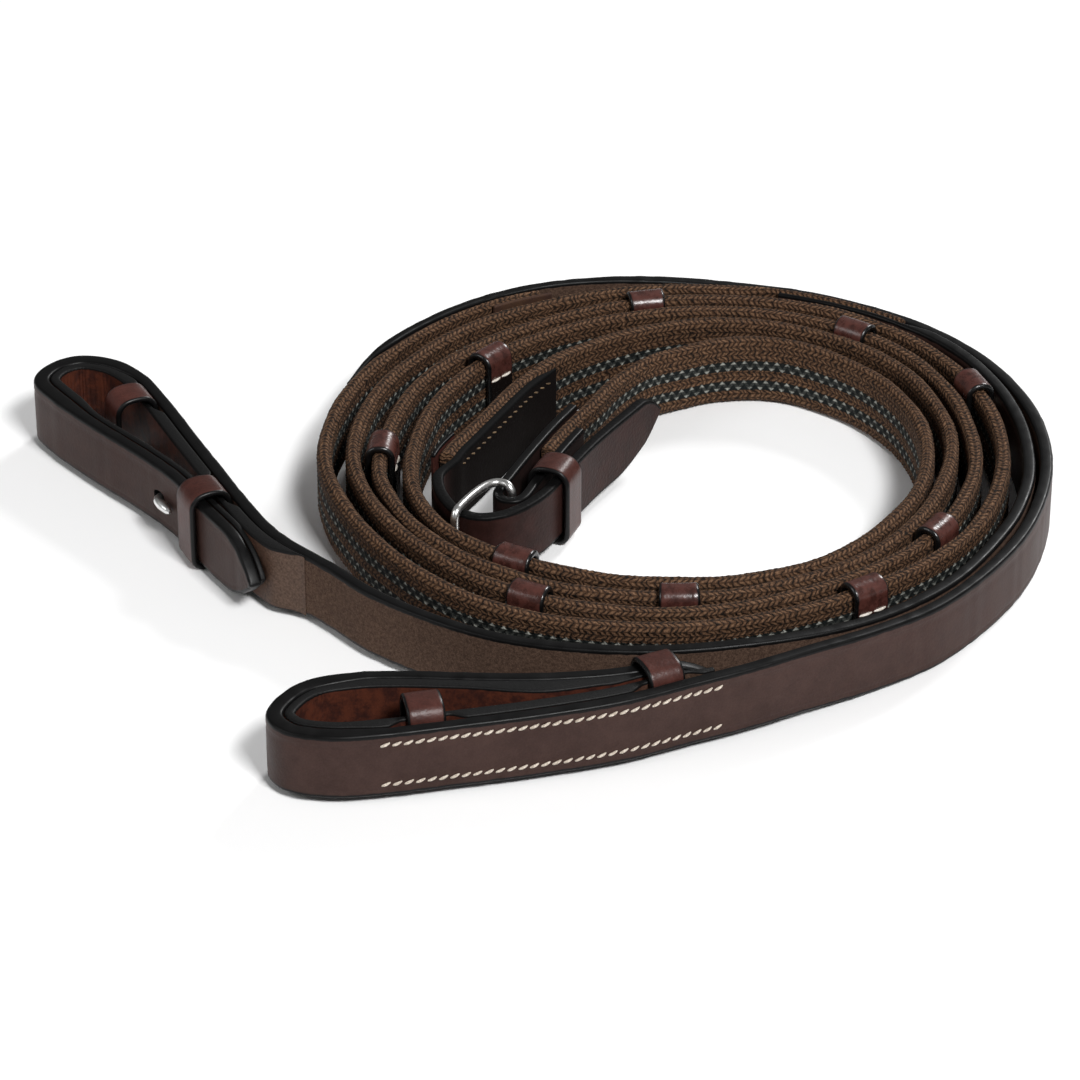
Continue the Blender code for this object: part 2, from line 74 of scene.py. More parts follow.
# coil: turn angle in degrees (0 left, 90 back, 180 right, 270 front), radius in mm
COIL_CENTRE = (32.9, 10.7)
COIL_A = [
    (66, 39.6), (75, 44.4), (83, 49.3), (92, 53.8), (100, 58.2), (110, 62), (120, 63.4),
    (140, 62.7), (160, 60.4), (180, 57.3), (200, 54.5), (230, 52.6), (255, 51.4), (272, 51.1),
    (290, 52.4), (310, 55.6), (322, 58.7), (335, 61.6), (348, 62.9), (360, 63.1), (375, 63.3),
    (390, 64.9), (410, 67.4), (430, 69.9), (450, 72.9), (465, 75.4), (478, 76.6), (490, 76.7),
    (500, 75.7), (510, 73.8), (520, 71.7), (540, 68.7), (560, 65.6), (575, 63.5), (590, 61.4),
    (610, 61.3), (630, 63.1), (650, 65.2), (665, 66.8), (680, 68.6), (700, 72), (720, 76.3),
    (735, 78), (750, 79.8), (770, 81.8), (785, 82.7), (805, 84.3), (825, 85.6), (845, 86.6),
    (860, 86.5), (873, 85.7), (885, 83.8), (900, 81.3), (910, 79.6), (920, 78.1), (940, 77),
    (960, 76.5), (980, 77.4), (1000, 80.6), (1020, 85.5), (1040, 89.8), (1050, 92)]
COIL_B = [
    (5, 54.7), (15, 52), (30, 51), (45, 53.3), (60, 57.3), (70, 60), (80, 63.1),
    (90, 66.2), (100, 68.7), (110, 70.2), (125, 71.1), (140, 70.2), (150, 68.4), (165, 65.8),
    (180, 62.6), (200, 59.2), (215, 57.8), (230, 57.1), (255, 56.4), (272, 57), (290, 58.7),
    (300, 60.4), (320, 64), (335, 66.9), (348, 68.9), (360, 70.5), (390, 72.3), (410, 73.6),
    (430, 75.6), (445, 78), (460, 80.4), (475, 82.3), (490, 82.5), (500, 81.7), (512, 79.9),
    (524, 77.8), (540, 75.1), (560, 72.2), (575, 69.7), (594, 67.2), (610, 67.2), (630, 69.2),
    (650, 72), (665, 74.7), (680, 76.1), (700, 78.6), (720, 83), (735, 84.8), (750, 86.2),
    (765, 87.6), (780, 88.8), (795, 88.6), (810, 88.7), (830, 89.6), (850, 90.4),
    (865, 90.2), (880, 88.6), (895, 86.2), (910, 83.6), (925, 81.8), (945, 81), (960, 81.2),
    (972, 83.3), (981, 87), (990, 92.2)]

# free ends, in the plan, millimetres
HEEL = (-6.5, -3.0)                 # upright bar of the buckle
FAR = (-19.5, -14.2)                # far bar of the buckle
TONGUE_TIP = (-17.3, -16.7)
A_START = [HEEL, (-3, 5.9), (0.9, 15.1), (4.6, 23.3), (8.7, 31.6), (12.9, 39.1)]
A_BIT_END = [
    (-60.4, -20.9), (-69.9, -3.6), (-74.5, 6.2), (-81.2, 20.4), (-90.3, 40), (-95.6, 49.8),
    (-102.7, 56.9), (-111.1, 59.1), (-117.3, 55.6), (-120, 48.9), (-115.6, 40.9), (-105.3, 28.4),
    (-92, 13.8), (-84, 3.6), (-78.4, -6.7), (-73.3, -15.1), (-68.4, -23.1), (-64.4, -30.7)]
B_START = [
    (28, 44.4), (25.8, 41.3), (22.2, 35.6), (17.1, 27.6), (12.3, 19.6), (7.6, 10.5), (4.1, 3.1),
    (0.2, -4.1), (-4.4, -9.4), (-8.9, -12.4), (-14.2, -13.3), (-18.7, -10.8), (-21.9, -5.3),
    (-23.5, 0.9), (-23.5, 7.1)]
B_BIT_END = [
    (17.8, -88.3), (0, -93.5), (-17.8, -97.6), (-33.8, -101), (-44.4, -102.1), (-53.8, -99.8),
    (-57.4, -94.4), (-55, -87.6), (-49.8, -82.2), (-40, -79.3), (-31.1, -78.8), (-13.3, -79.5),
    (0, -79.6), (13.3, -78.2), (22.2, -76.3), (31.1, -74.1), (37.3, -72.8), (41.8, -71.9)]

ARCH = [FAR, (-18.2, -11.6), (-16.2, -7.8), (-13.9, -4.3), (-11.7, -2), (-9.8, -1.2),
        (-8, -1.8), HEEL]

STOPS_A = (313, 408, 485, 567, 662)
STOPS_B = (272, 366, 445, 513, 594)


# camera, floor and light

CAMERA_DISTANCE = 1111.0
CAMERA_RISE = math.radians(32)
CAMERA_LENS = 158.33
AIM = (SHIFT[0], SHIFT[1] + 4.1, 0.0)
SKY_STRENGTH = 0.15
FLOOR_HALF = 3.0        # metres
FLOOR_GREY = 0.97


def add_camera():
    data = bpy.data.cameras.new("camera")
    data.lens = CAMERA_LENS
    data.sensor_width = 36
    data.clip_start = 0.05
    data.clip_end = 20
    cam = bpy.data.objects.new("camera", data)
    back = Vector((0, -math.cos(CAMERA_RISE), math.sin(CAMERA_RISE)))
    cam.location = (Vector(AIM) + CAMERA_DISTANCE * back) * MM
    cam.rotation_mode = "QUATERNION"
    cam.rotation_quaternion = (-back).to_track_quat("-Z", "Y")
    bpy.context.scene.collection.objects.link(cam)
    bpy.context.scene.camera = cam


def add_light(name, location, target, size, power):
    data = bpy.data.lights.new(name, "AREA")
    data.shape = "RECTANGLE"
    data.size, data.size_y = size
    data.energy = power
    lamp = bpy.data.objects.new(name, data)
    lamp.location = location
    lamp.rotation_mode = "QUATERNION"
    lamp.rotation_quaternion = (Vector(target) - Vector(location)).to_track_quat("-Z", "Y")
    bpy.context.scene.collection.objects.link(lamp)


def add_stage():
    world = bpy.data.worlds.new("studio")
    world.use_nodes = True
    world.node_tree.nodes["Background"].inputs[0].default_value = (1, 1, 1, 1)
    world.node_tree.nodes["Background"].inputs[1].default_value = SKY_STRENGTH
    bpy.context.scene.world = world
    bm = bmesh.new()
    bmesh.ops.create_grid(bm, x_segments=4, y_segments=4, size=FLOOR_HALF)
    mesh = bpy.data.meshes.new("floor")
    bm.to_mesh(mesh)
    bm.free()
    floor = bpy.data.objects.new("floor", mesh)
    paint = bpy.data.materials.new("floor_paint")
    paint.use_nodes = True
    shader = paint.node_tree.nodes["Principled BSDF"]
    shader.inputs["Base Color"].default_value = (FLOOR_GREY, FLOOR_GREY, FLOOR_GREY, 1)
    shader.inputs["Roughness"].default_value = 0.9
    shader.inputs["Specular IOR Level"].default_value = 0.1
    mesh.materials.append(paint)
    bpy.context.scene.collection.objects.link(floor)
    add_light("key", (0.67, -1.15, 1.52), (0, 0, 0), (0.54, 0.42), 40)
    add_light("back", (1.05, 1.62, 1.3), (0, 0.4, 0), (0.5, 0.5), 26)
    add_light("left", (-1.76, -0.56, 1.3), (0, 0, 0), (1.0, 0.8), 9)
    bpy.context.scene.view_settings.view_transform = "Standard"


add_camera()
add_stage()


# centre lines

class Line:
    """A smooth plan curve through given points, read by distance along it."""

    def __init__(self, points, fine=0.25):
        pts = np.array(points, float)
        steps = np.sqrt(np.linalg.norm(np.diff(pts, axis=0), axis=1))
        knots = np.concatenate([[0], np.cumsum(steps)])
        slopes = np.gradient(pts, knots, axis=0)
        dense = []
        for i in range(len(pts) - 1):
            span = knots[i + 1] - knots[i]
            for u in np.linspace(0, 1, 24, endpoint=False):
                dense.append((2 * u ** 3 - 3 * u ** 2 + 1) * pts[i]
                             + (u ** 3 - 2 * u ** 2 + u) * span * slopes[i]
                             + (3 * u ** 2 - 2 * u ** 3) * pts[i + 1]
                             + (u ** 3 - u ** 2) * span * slopes[i + 1])
        dense.append(pts[-1])
        dense = np.array(dense)
        run = np.concatenate([[0], np.cumsum(np.linalg.norm(np.diff(dense, axis=0), axis=1))])
        self.length = run[-1]
        self.s = np.linspace(0, self.length, int(self.length / fine) + 1)
        self.p = np.stack([np.interp(self.s, run, dense[:, k]) for k in (0, 1)], 1)
        tangent = np.gradient(self.p, self.s, axis=0)
        even = np.ones(9) / 9
        tangent = np.stack([np.convolve(np.pad(tangent[:, k], 4, mode="edge"), even, "valid")
                            for k in (0, 1)], 1)
        self.t = tangent / np.linalg.norm(tangent, axis=1)[:, None]
        self.bend = np.abs(np.gradient(np.unwrap(np.arctan2(self.t[:, 1], self.t[:, 0])), self.s))

    def near(self, point):
        """Distance along the line of its closest point."""
        return self.s[np.argmin(np.linalg.norm(self.p - np.array(point), axis=1))]

    def point(self, s):
        return np.stack([np.interp(s, self.s, self.p[:, k]) for k in (0, 1)], -1)

    def tangent(self, s):
        t = np.stack([np.interp(s, self.s, self.t[:, k]) for k in (0, 1)], -1)
        return t / np.linalg.norm(t, axis=-1, keepdims=True)

    def normal(self, s):
        """Unit vector to the left of the travel."""
        t = self.tangent(s)
        return np.stack([-t[..., 1], t[..., 0]], -1)

    def side(self, s, offset):
        return self.point(s) + np.asarray(offset)[..., None] * self.normal(s)


def on_coil(turn, radius):
    angle = math.radians(180 - turn)
    return (COIL_CENTRE[0] + radius * math.cos(angle), COIL_CENTRE[1] + radius * math.sin(angle))


line_a = Line(A_START + [on_coil(*c) for c in COIL_A] + A_BIT_END)
line_b = Line(B_START + [on_coil(*c) for c in COIL_B] + B_BIT_END)


def turn_a(turn):
    return line_a.near(on_coil(turn, np.interp(turn, *zip(*COIL_A))))


def turn_b(turn):
    return line_b.near(on_coil(turn, np.interp(turn, *zip(*COIL_B))))


def eased(table, s):
    """Value at s from (distance, value) rows, easing from row to row; a number is itself."""
    if isinstance(table, (int, float)):
        return np.full(np.shape(s), float(table))
    xs, ys = (np.array(column, float) for column in zip(*table))
    k = np.clip(np.searchsorted(xs, s) - 1, 0, len(xs) - 2)
    u = np.clip((s - xs[k]) / (xs[k + 1] - xs[k]), 0, 1)
    return ys[k] + (ys[k + 1] - ys[k]) * u * u * (3 - 2 * u)


# material nodes

class Field:
    """A number in a material's node tree that can be reckoned with."""

    def __init__(self, tree, socket):
        self.tree = tree
        self.socket = socket

    def math(self, operation, *others):
        node = self.tree.nodes.new("ShaderNodeMath")
        node.operation = operation
        for slot, value in zip(node.inputs, (self, *others)):
            if isinstance(value, Field):
                self.tree.links.new(value.socket, slot)
            else:
                slot.default_value = value
        return Field(self.tree, node.outputs[0])

    def __add__(self, other):
        return self.math("ADD", other)

    def __sub__(self, other):
        return self.math("SUBTRACT", other)

    def __mul__(self, other):
        return self.math("MULTIPLY", other)

    def frac(self):
        return self.math("FRACT")

    def size(self):
        return self.math("ABSOLUTE")

    def power(self, exponent):
        return self.math("POWER", exponent)

    def inverse(self):
        return self.math("MULTIPLY_ADD", -1.0, 1.0)

    def step(self, low, high):
        """0 below low, 1 above high, smooth between."""
        node = self.tree.nodes.new("ShaderNodeMapRange")
        node.interpolation_type = "SMOOTHSTEP"
        self.tree.links.new(self.socket, node.inputs["Value"])
        node.inputs["From Min"].default_value = low
        node.inputs["From Max"].default_value = high
        return Field(self.tree, node.outputs["Result"])


class Look:
    """A procedural material under construction."""

    def __init__(self, name, metallic=0.0):
        self.material = bpy.data.materials.new(name)
        self.material.use_nodes = True
        self.tree = self.material.node_tree
        self.shader = self.tree.nodes["Principled BSDF"]
        self.shader.inputs["Metallic"].default_value = metallic
        self.place = self.tree.nodes.new("ShaderNodeTexCoord").outputs["Object"]

    def attribute(self, name):
        node = self.tree.nodes.new("ShaderNodeAttribute")
        node.attribute_name = name
        return Field(self.tree, node.outputs["Fac"])

    def noise(self, scale, detail=3.0, rough=0.5, stretch=None):
        node = self.tree.nodes.new("ShaderNodeTexNoise")
        node.inputs["Scale"].default_value = scale
        node.inputs["Detail"].default_value = detail
        node.inputs["Roughness"].default_value = rough
        source = self.place
        if stretch:
            mapping = self.tree.nodes.new("ShaderNodeMapping")
            mapping.inputs["Scale"].default_value = stretch
            self.tree.links.new(source, mapping.inputs["Vector"])
            source = mapping.outputs["Vector"]
        self.tree.links.new(source, node.inputs["Vector"])
        return Field(self.tree, node.outputs["Fac"])

    def cells(self, scale):
        node = self.tree.nodes.new("ShaderNodeTexVoronoi")
        node.feature = "SMOOTH_F1"
        node.inputs["Scale"].default_value = scale
        self.tree.links.new(self.place, node.inputs["Vector"])
        return Field(self.tree, node.outputs["Distance"])

    def blend(self, share, first, second):
        """Colour from first to second; a colour is three numbers or another blend."""
        node = self.tree.nodes.new("ShaderNodeMix")
        node.data_type = "RGBA"
        self.tree.links.new(share.socket, node.inputs["Factor"])
        for slot, colour in ((node.inputs[6], first), (node.inputs[7], second)):
            if isinstance(colour, tuple):
                slot.default_value = (*colour, 1)
            else:
                self.tree.links.new(colour, slot)
        return node.outputs[2]

    def finish(self, colour, rough, height=None, relief=0.1):
        """Connect colour, roughness and a bump height whose full range is relief millimetres."""
        self.tree.links.new(colour, self.shader.inputs["Base Color"])
        if isinstance(rough, Field):
            self.tree.links.new(rough.socket, self.shader.inputs["Roughness"])
        else:
            self.shader.inputs["Roughness"].default_value = rough
        if height:
            bump = self.tree.nodes.new("ShaderNodeBump")
            bump.inputs["Distance"].default_value = relief * MM
            self.tree.links.new(height.socket, bump.inputs["Height"])
            self.tree.links.new(bump.outputs["Normal"], self.shader.inputs["Normal"])
        return self.material


BROWN = (0.053, 0.028, 0.023)
DEEP_BROWN = (0.033, 0.016, 0.013)
DARK_BROWN = (0.038, 0.0155, 0.013)
DARK_DEEP = (0.020, 0.008, 0.0065)
NEAR_BLACK = (0.006, 0.0042, 0.0038)
RED_BROWN = (0.078, 0.026, 0.020)
RED_DEEP = (0.034, 0.0115, 0.009)
LINING_RED = (0.092, 0.026, 0.014)
BURNISHED = (0.0030, 0.0029, 0.0030)
SUEDE = (0.120, 0.073, 0.051)
SUEDE_DEEP = (0.044, 0.025, 0.017)


def leather(name, light=BROWN, deep=DEEP_BROWN, flesh=0, border=0.25, gloss=0.36, shine=0.16):
    """Grain leather with burnished edges.

    flesh is the side left rough, 1 left or -1 right; border is the edge's width; gloss is
    the least roughness, and shine the specular level.
    """
    look = Look(name)
    rim = look.attribute("rim")
    cloud = look.noise(90, 4, 0.6)
    blotch = look.noise(330, 4, 0.7)
    pores = look.noise(2400, 3, 0.6)
    grain = look.cells(1500)
    edge = (rim + look.noise(420, 3) * 0.5).step(border + 0.1, border + 0.4).inverse()
    tone = (cloud * 0.5 + blotch * 0.4 + pores * 0.35).step(0.42, 0.84)
    colour = look.blend(tone, deep, light)
    rough = (cloud * 0.16 + gloss) + blotch * 0.1
    height = grain * 0.45 + pores * 0.4
    if flesh:
        rear = (look.attribute("side") * float(flesh)).step(0.3, 0.6)
        nap = look.noise(1500, 5, 0.75)
        fibre = look.noise(5200, 2, 0.6)
        suede = look.blend((nap * 0.7 + fibre * 0.5).step(0.46, 0.76), SUEDE_DEEP, SUEDE)
        colour = look.blend(rear, colour, suede)
        rough = rough + rear * 0.45
        height = height * rear.inverse() + rear * (nap * 1.6 + fibre * 0.6)
    colour = look.blend(edge, colour, BURNISHED)
    rough = rough * edge.inverse() + edge * (look.noise(300, 2) * 0.3 + 0.24)
    height = height * (edge * 0.7).inverse()
    look.shader.inputs["Specular IOR Level"].default_value = shine
    return look.finish(colour, rough, height, 0.07)


# Knit colours: a painted highlight for the tops of the loops, the yarn's own mid brown, and painted
# shade for the gaps between loops.
KNIT_PAINTED_HIGHLIGHT = (0.20, 0.112, 0.062)
KNIT_MID = (0.074, 0.037, 0.019)
KNIT_PAINTED_GAP_SHADE = (0.007, 0.004, 0.0025)
TRACER_DARK = (0.0045, 0.0065, 0.0065)
TRACER_LIGHT = (0.34, 0.345, 0.31)
ROW = 1.2               # width of one column of the knit
SLOPE = 0.8             # how far a stitch leans across its column, in stitches
TRACERS = (6.0, 11.4)   # distance round from the lower edge of the two zigzag threads
TRACER_SWING = 0.85


def knitted(name):
    look = Look(name)
    along = look.attribute("along") * (1 / KNIT_PITCH)
    around = look.attribute("around")
    lean = ((around * (0.5 / ROW)).frac() - 0.5).size() * 2.0 - 0.5
    across = ((around * (1 / ROW)).frac() - 0.5).size() * 2.0
    fibre = look.noise(3600, 4, 0.75)
    patch = look.noise(650, 3, 0.6)
    drift = (look.noise(420, 3, 0.6) - 0.5) * 2.2
    along_cell = ((along + lean * SLOPE + drift).frac() - 0.5).size() * 2.0
    loop = along_cell.power(1.6).inverse() * (across.power(3.0) * 0.7).inverse()
    # From painted shade in the gaps between loops to the yarn's mid brown, with the yarn's own
    # patchy tone.
    body = (loop * 0.75 + patch * 0.6 + fibre * 0.2).step(0.4, 0.86)
    # Painted highlight glints on the tops of the loops.
    painted_glints = (loop * 0.55 + fibre * 0.9 + patch * 0.35).step(1.0, 1.28)
    colour = look.blend(painted_glints, look.blend(body, KNIT_PAINTED_GAP_SHADE, KNIT_MID), KNIT_PAINTED_HIGHLIGHT)
    zig = ((along * 0.5).frac() - 0.5).size() * 4.0 - 1.0
    for height in TRACERS:
        off = around - height
        fuzz = (fibre - 0.5) * 0.6
        band = (off.size() + fuzz).step(TRACER_SWING + 0.3, TRACER_SWING + 0.65).inverse()
        thread = (off - zig * TRACER_SWING + fuzz).size().step(0.3, 0.85).inverse()
        turn = off.size().step(TRACER_SWING * 0.5, TRACER_SWING * 0.85) * 0.9 + 0.1
        specks = thread * turn * (fibre * 0.9 + patch * 0.9).step(0.6, 1.05)
        colour = look.blend(band, colour, look.blend(specks, TRACER_DARK, TRACER_LIGHT))
    height = loop * 0.8 + fibre * 0.5
    look.shader.inputs["Specular IOR Level"].default_value = 0.2
    return look.finish(colour, 0.85, height, 0.24)


def threads(name, light, deep):
    look = Look(name)
    twist = look.noise(2600, 2, 0.5)
    colour = look.blend(twist.step(0.35, 0.7), deep, light)
    return look.finish(colour, 0.6, twist, 0.06)


def nickel(name):
    look = Look(name, metallic=1.0)
    wear = look.noise(900, 4, 0.6)
    scratch = look.noise(2500, 3, 0.5, (1, 1, 0.15))
    colour = look.blend(wear.step(0.3, 0.8), (0.84, 0.83, 0.81), (0.96, 0.96, 0.95))
    rough = wear * 0.14 + 0.22
    return look.finish(colour, rough, scratch, 0.012)


# mesh building

def build(name, points, faces, material, attributes=None, sharp=48):
    """Make a piece from points in millimetres; attributes hold one number for each point."""
    mesh = bpy.data.meshes.new(name)
    places = np.array(points, float)
    places[:, :2] += SHIFT
    mesh.from_pydata(places * MM, [], faces)
    for label, values in (attributes or {}).items():
        layer = mesh.attributes.new(label, "FLOAT", "POINT")
        layer.data.foreach_set("value", np.asarray(values, np.float32).ravel())
    mesh.shade_smooth()
    mesh.set_sharp_from_angle(angle=math.radians(sharp))
    mesh.materials.append(material)
    piece = bpy.data.objects.new(name, mesh)
    bpy.context.scene.collection.objects.link(piece)
    return piece


def aim_out(piece):
    """Turn a piece's faces outward."""
    bm = bmesh.new()
    bm.from_mesh(piece.data)
    bmesh.ops.recalc_face_normals(bm, faces=bm.faces)
    bm.to_mesh(piece.data)
    bm.free()
    return piece


def grid_faces(rows, columns, wrap_rows=False):
    """Quads of a grid whose columns close on themselves."""
    last = rows if wrap_rows else rows - 1
    r = np.arange(last)[:, None]
    c = np.arange(columns)[None, :]
    r2 = (r + 1) % rows
    c2 = (c + 1) % columns
    quads = np.stack([r * columns + c, r * columns + c2, r2 * columns + c2, r2 * columns + c], -1)
    return quads.reshape(-1, 4).tolist()


def own(piece, node, body="reins", replaces=True):
    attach(piece, body)
    if replaces:
        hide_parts(node)
    return piece


def outline(face, arc):
    """Round a strap's section: side, top or bottom, corner direction, place up the face."""
    turns = np.linspace(0, 90, arc)
    rows = [(1, 0, 1.0, 0.0, f) for f in face]
    for start, sx, sz in ((0, 1, 1), (90, -1, 1)):
        rows += [(sx, sz, math.cos(math.radians(start + k)), math.sin(math.radians(start + k)), -1)
                 for k in turns]
    rows += [(-1, 0, -1.0, 0.0, f) for f in face[::-1]]
    for start, sx, sz in ((180, -1, -1), (270, 1, -1)):
        rows += [(sx, sz, math.cos(math.radians(start + k)), math.sin(math.radians(start + k)), -1)
                 for k in turns]
    return [np.array(column) for column in zip(*rows)]


LEATHER_FACE = (0.03, 0.075, 0.1, 0.125, 0.2, 0.35, 0.5, 0.65, 0.8, 0.875, 0.9, 0.925, 0.97)


END_ROUND = 0.35


def ribbon(name, line, s0, s1, right, left, material, low=LOW, high=HIGH, tip=None, tip_length=15,
           step=1.0, corner=0.75, face=LEATHER_FACE, arc=5, relief=None):
    """Band standing on edge between two side offsets, with rounded edges and ends.

    relief(s, x, z, side, around) gives how far the surface stands out, in millimetres.
    """
    stations = [np.arange(math.ceil(s0 / step), s1 / step) * step]
    for span, count, at_start, at_end in ((END_ROUND, 9, True, True),
                                          (tip_length, 22, tip == "start", tip == "end")):
        spread = span * (1 - np.cos(np.linspace(0.02, math.pi / 2, count)))
        stations += [s0 + spread] if at_start else []
        stations += [s1 - spread] if at_end else []
    s = np.unique(np.round(np.concatenate(stations), 3))
    s = s[(s > s0) & (s < s1)]
    r = eased(right, s)
    w = eased(left, s)
    z0 = eased(low, s)
    z1 = eased(high, s)
    from_end = np.minimum(s - s0, s1 - s)
    past = np.maximum(END_ROUND - from_end, 0)
    inset = END_ROUND - np.sqrt(np.maximum(END_ROUND ** 2 - past ** 2, 0))
    hx = (w - r) / 2 - np.minimum(inset, (w - r) / 2 * 0.8)
    hz = (z1 - z0) / 2 - inset
    if tip:
        d = np.clip((s - s0 if tip == "start" else s1 - s) / tip_length, 0.0, 1)
        hz = np.minimum(hz, np.maximum((z1 - z0) / 2 * np.sin(d * math.pi / 2) ** 0.75, 0.3))
    cx = (w + r) / 2
    cz = (z1 + z0) / 2
    rc = np.minimum(np.minimum(corner, hx * 0.96), hz * 0.96)
    sx, sz, nx, nz, place = outline(face, arc)
    on_face = place >= 0
    col = (slice(None), None)
    x = cx[col] + sx * (hx - rc)[col] + nx * rc[col]
    z = cz[col] + sz * (hz - rc)[col] + nz * rc[col]
    z_face = (cz - hz + rc)[col] + place * (2 * (hz - rc))[col]
    z = np.where(on_face, z_face, z)
    flat = (hx - rc)[col]
    turned = np.arctan2(np.abs(nz), np.abs(nx)) * rc[col]
    rim = np.where(on_face, np.minimum(z - (cz - hz + rc)[col], (cz + hz - rc)[col] - z), -turned)
    bottom = flat + rc[col] * math.pi / 2
    around = np.where(on_face, bottom + z - (cz - hz + rc)[col],
                      np.where(sz > 0, bottom + 2 * (hz - rc)[col] + turned, bottom - turned))
    along = np.broadcast_to(s[col], x.shape)
    side = np.broadcast_to(np.where(on_face, sx, nx), x.shape)
    if relief:
        out = relief(along, x, z, side, around)
        x = x + nx * out
        z = z + nz * out
    plan = line.side(along, x)
    points = np.concatenate([plan, z[..., None]], -1)
    rows, columns = x.shape
    faces = grid_faces(rows, columns)
    faces.append(list(range(columns))[::-1])
    faces.append(list(range((rows - 1) * columns, rows * columns)))
    faces = [f[::-1] for f in faces]
    return build(name, points.reshape(-1, 3), faces, material,
                 {"along": along, "around": around, "rim": rim, "side": side})


def ring(name, line, s, path, wall, length, material, relief):
    """Leather loop round a strap; path holds the (side, height) points of its middle layer."""
    path = np.array(path, float)
    ahead = np.roll(path, -1, 0) - np.roll(path, 1, 0)
    ahead /= np.linalg.norm(ahead, axis=1)[:, None]
    outward = np.stack([ahead[:, 1], -ahead[:, 0]], 1)
    run = np.concatenate([[0], np.cumsum(np.linalg.norm(np.diff(path, axis=0), axis=1))])
    corner = wall * 0.42
    turns = np.linspace(0, 90, 4)
    section = []
    for start, sa, sh in ((0, 1, 1), (90, -1, 1), (180, -1, -1), (270, 1, -1)):
        for k in turns:
            a = math.radians(start + k)
            section.append((sa * (length / 2 - corner) + corner * math.cos(a),
                            sh * (wall / 2 - corner) + corner * math.sin(a)))
        if start in (0, 180):
            section += [(sa * q * length / 2, sh * wall / 2) for q in (0.7, 0.4, 0, -0.4, -0.7)]
    section = np.array(section)
    a = np.broadcast_to(section[None, :, 0], (len(path), len(section)))
    h = np.broadcast_to(section[None, :, 1], a.shape)
    around = np.broadcast_to(run[:, None], a.shape)
    px = np.broadcast_to(path[:, None, 0], a.shape)
    pz = np.broadcast_to(path[:, None, 1], a.shape)
    lift = h + relief(a, h, px, pz)
    x = px + outward[:, None, 0] * lift
    z = pz + outward[:, None, 1] * lift
    plan = line.side(s + a, x)
    points = np.concatenate([plan, z[..., None]], -1)
    rim = length / 2 - corner - np.abs(a)
    rim = np.where(h > -wall * 0.2, rim, -1)
    return build(name, points.reshape(-1, 3), grid_faces(len(path), len(section), True), material,
                 {"along": a, "around": around, "rim": rim, "height": z})


def rounded_path(u0, u1, z0, z1, radius, run, arc=9):
    """Closed rounded rectangle in the section plane."""
    path = []
    corners = ((u1 - radius, z0 + radius, -90), (u1 - radius, z1 - radius, 0),
               (u0 + radius, z1 - radius, 90), (u0 + radius, z0 + radius, 180))
    for i, (u, z, start) in enumerate(corners):
        for k in np.linspace(0, 90, arc):
            angle = math.radians(start + k)
            path.append((u + radius * math.cos(angle), z + radius * math.sin(angle)))
        nu, nz, nstart = corners[(i + 1) % 4]
        angle = math.radians(nstart)
        goal = (nu + radius * math.cos(angle), nz + radius * math.sin(angle))
        here = path[-1]
        path += [(here[0] + (goal[0] - here[0]) * q, here[1] + (goal[1] - here[1]) * q)
                 for q in np.linspace(0, 1, run + 1, endpoint=False)[1:]]
    return path


def tube(name, centre_points, radii, material, sides, closed=False):
    """Round bar along points in millimetres, with a radius at each point."""
    pts = np.array(centre_points, float)
    n = len(pts)
    if closed:
        ahead = np.roll(pts, -1, 0) - np.roll(pts, 1, 0)
    else:
        ahead = np.gradient(pts, axis=0)
    ahead /= np.linalg.norm(ahead, axis=1)[:, None]
    up = np.array([0.0, 0.0, 1.0]) if abs(ahead[0][2]) < 0.9 else np.array([1.0, 0.0, 0.0])
    first = np.cross(ahead[0], up)
    frames = []
    for t in ahead:
        first = first - t * (first @ t)
        first /= np.linalg.norm(first)
        frames.append((first.copy(), np.cross(t, first)))
    turns = np.linspace(0, 2 * math.pi, sides, endpoint=False)
    points = []
    for p, (u, v), radius in zip(pts, frames, np.broadcast_to(radii, n)):
        points += [p + radius * (math.cos(a) * u + math.sin(a) * v) for a in turns]
    faces = grid_faces(n, sides, closed)
    if not closed:
        faces += [list(range(sides))[::-1], list(range((n - 1) * sides, n * sides))]
    faces = [f[::-1] for f in faces]
    return aim_out(build(name, points, faces, material))


def stitches(name, line, spots, z, offset, material, radius, length=1.9, slant=0, proud=0.22):
    """A row of short thread humps at height z on the face of a strap."""
    bend = (-1.0, -0.8, -0.4, 0.0, 0.4, 0.8, 1.0)
    sides = 6
    points = []
    faces = []
    way = np.sign(offset)
    rise = math.tan(math.radians(slant))
    for s in spots:
        base = len(points)
        for q in bend:
            here = s + q * length / 2
            hump = proud * (1 - q * q) - 0.12
            thick = radius * math.sqrt(max(1 - 0.75 * q * q, 0.05))
            plan = line.side(here, offset + way * hump)
            normal = line.normal(here) * way
            for k in range(sides):
                a = 2 * math.pi * k / sides
                lift = thick * math.cos(a)
                up = q * length / 2 * rise + thick * math.sin(a)
                points.append((*(plan + normal * lift), z + up))
        part = grid_faces(len(bend), sides)
        part += [list(range(sides))[::-1],
                 list(range((len(bend) - 1) * sides, len(bend) * sides))]
        faces += [[base + i for i in f] for f in part]
    return aim_out(build(name, points, faces, material, sharp=80))


CREAM_THREAD = threads("cream_thread", (0.72, 0.64, 0.55), (0.42, 0.35, 0.28))
WHITE_THREAD = threads("white_thread", (0.88, 0.83, 0.76), (0.62, 0.56, 0.48))
TAN_THREAD = threads("tan_thread", (0.24, 0.15, 0.07), (0.07, 0.04, 0.02))


# webs

a_web_start = 21.5
a_web_end = turn_a(850)
a_leather_start = turn_a(828)
b_web_start = turn_b(4)
b_web_end = turn_b(788)
b_leather_start = turn_b(760)

